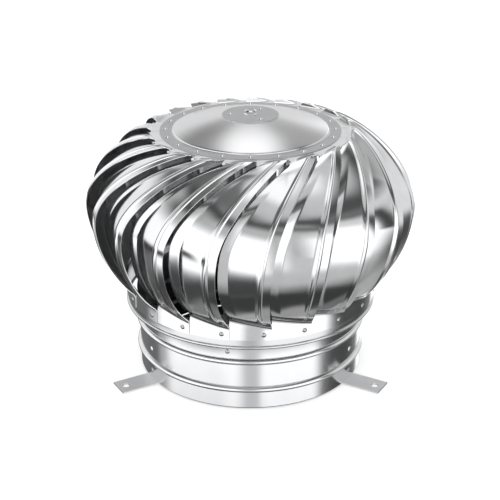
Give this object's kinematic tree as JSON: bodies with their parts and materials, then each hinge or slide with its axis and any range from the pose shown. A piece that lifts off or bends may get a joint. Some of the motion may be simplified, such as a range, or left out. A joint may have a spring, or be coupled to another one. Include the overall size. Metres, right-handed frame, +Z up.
{
  "type": "roof turbine ventilator",
  "caption": "Wind-driven roof ventilator: a spinning rotor of twisted sheet vanes under a shallow cap, on a beaded throat pipe with strap feet.",
  "frame": {"origin": "on the mounting surface, below the axle, at the centre of the foot-hole circle", "axes": "+Z up along the axle; -Y is the front, midway between two of the feet; the third foot points to +Y"},
  "size_m": [0.4262, 0.4262, 0.3508],
  "materials": {
    "polished_sheet": "bright rolled stainless sheet",
    "vane_sheet": "mirror-polished stainless sheet",
    "spun_sheet": "spun stainless with fine turning rings",
    "strap_steel": "mill-finish stainless strip",
    "machined_steel": "turned steel",
    "bearing_steel": "ground bearing steel",
    "rivet_steel": "formed stainless rivet heads"
  },
  "bodies": {
    "base": {"throat_pipe": "polished_sheet", "neck_collar": "polished_sheet", "collar_rivets": "rivet_steel", "mounting_foot_1": "strap_steel", "mounting_foot_2": "strap_steel", "mounting_foot_3": "strap_steel", "foot_rivets": "rivet_steel", "bracket_rivets": "rivet_steel", "axle_bracket": "strap_steel", "bearing_tube": "machined_steel", "tube_bolts": "machined_steel", "tube_nuts": "machined_steel", "lower_bearing_outer_ring": "bearing_steel", "upper_bearing_outer_ring": "bearing_steel"},
    "rotor": {"axle": "machined_steel", "axle_lock_nut": "machined_steel", "lower_bearing_inner_ring": "bearing_steel", "upper_bearing_inner_ring": "bearing_steel", "hub_flange": "machined_steel", "top_cap": "spun_sheet", "hub_plate": "spun_sheet", "hub_rivets": "rivet_steel", "top_washer": "machined_steel", "top_nut": "machined_steel", "cap_rivets": "rivet_steel", "rotor_ring": "polished_sheet", "tab_rivets": "rivet_steel", "vane_01": "vane_sheet", "vane_02": "vane_sheet", "vane_03": "vane_sheet", "vane_04": "vane_sheet", "vane_05": "vane_sheet", "vane_06": "vane_sheet", "vane_07": "vane_sheet", "vane_08": "vane_sheet", "vane_09": "vane_sheet", "vane_10": "vane_sheet", "vane_11": "vane_sheet", "vane_12": "vane_sheet", "vane_13": "vane_sheet", "vane_14": "vane_sheet", "vane_15": "vane_sheet", "vane_16": "vane_sheet", "vane_17": "vane_sheet", "vane_18": "vane_sheet", "vane_19": "vane_sheet", "vane_20": "vane_sheet"}
  },
  "joints": [
    {"name": "rotor_spin", "type": "hinge", "parent": "base", "child": "rotor", "pos_m": [0, 0, 0.1], "axis": [0, 0, 1], "continuous": true}
  ]
}
